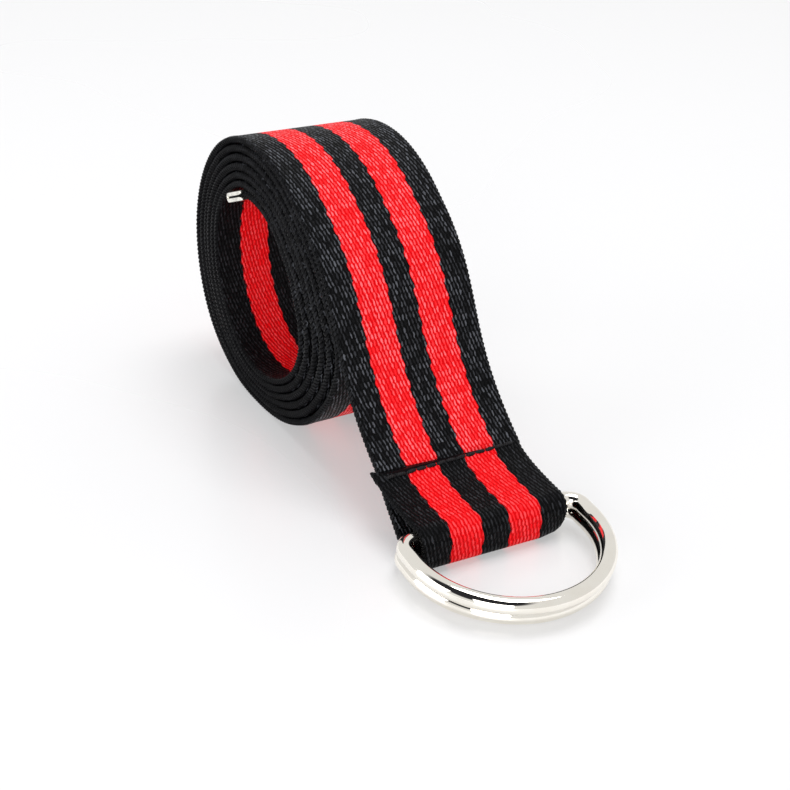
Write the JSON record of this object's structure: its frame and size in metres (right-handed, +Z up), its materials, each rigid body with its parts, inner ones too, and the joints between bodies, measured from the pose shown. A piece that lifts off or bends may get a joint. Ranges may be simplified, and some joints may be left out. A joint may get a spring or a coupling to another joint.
{
  "type": "double ring belt",
  "caption": "Striped webbing belt rolled into a loose coil, with stacked D-shaped rings held in its sewn loop and a metal tip on its inner end.",
  "frame": {"origin": "middle of the belt's base, on the surface it rests on", "axes": "+X from the coil towards the rings, +Y across the webbing, +Z up"},
  "size_m": [0.1516, 0.0496, 0.0705],
  "materials": {
    "webbing": "black and red striped twill weave",
    "ring_nickel": "bright nickel plate, smooth",
    "tip_steel": "bright folded plate"
  },
  "bodies": {
    "strap": {"webbing_strap": "webbing", "strap_tip": "tip_steel"},
    "lower_ring": {"lower_ring": "ring_nickel"},
    "upper_ring": {"upper_ring": "ring_nickel"}
  },
  "joints": [
    {"name": "lower_ring_swing", "type": "hinge", "parent": "strap", "child": "lower_ring", "pos_m": [0.04303, 0.00069, 0.00345], "axis": [-0.0558, -0.9984, 0], "range_deg": [-195, 0]},
    {"name": "upper_ring_swing", "type": "hinge", "parent": "strap", "child": "upper_ring", "pos_m": [0.04483, -0.00011, 0.0074], "axis": [-0.0558, -0.9984, 0], "range_deg": [0, 145]}
  ]
}
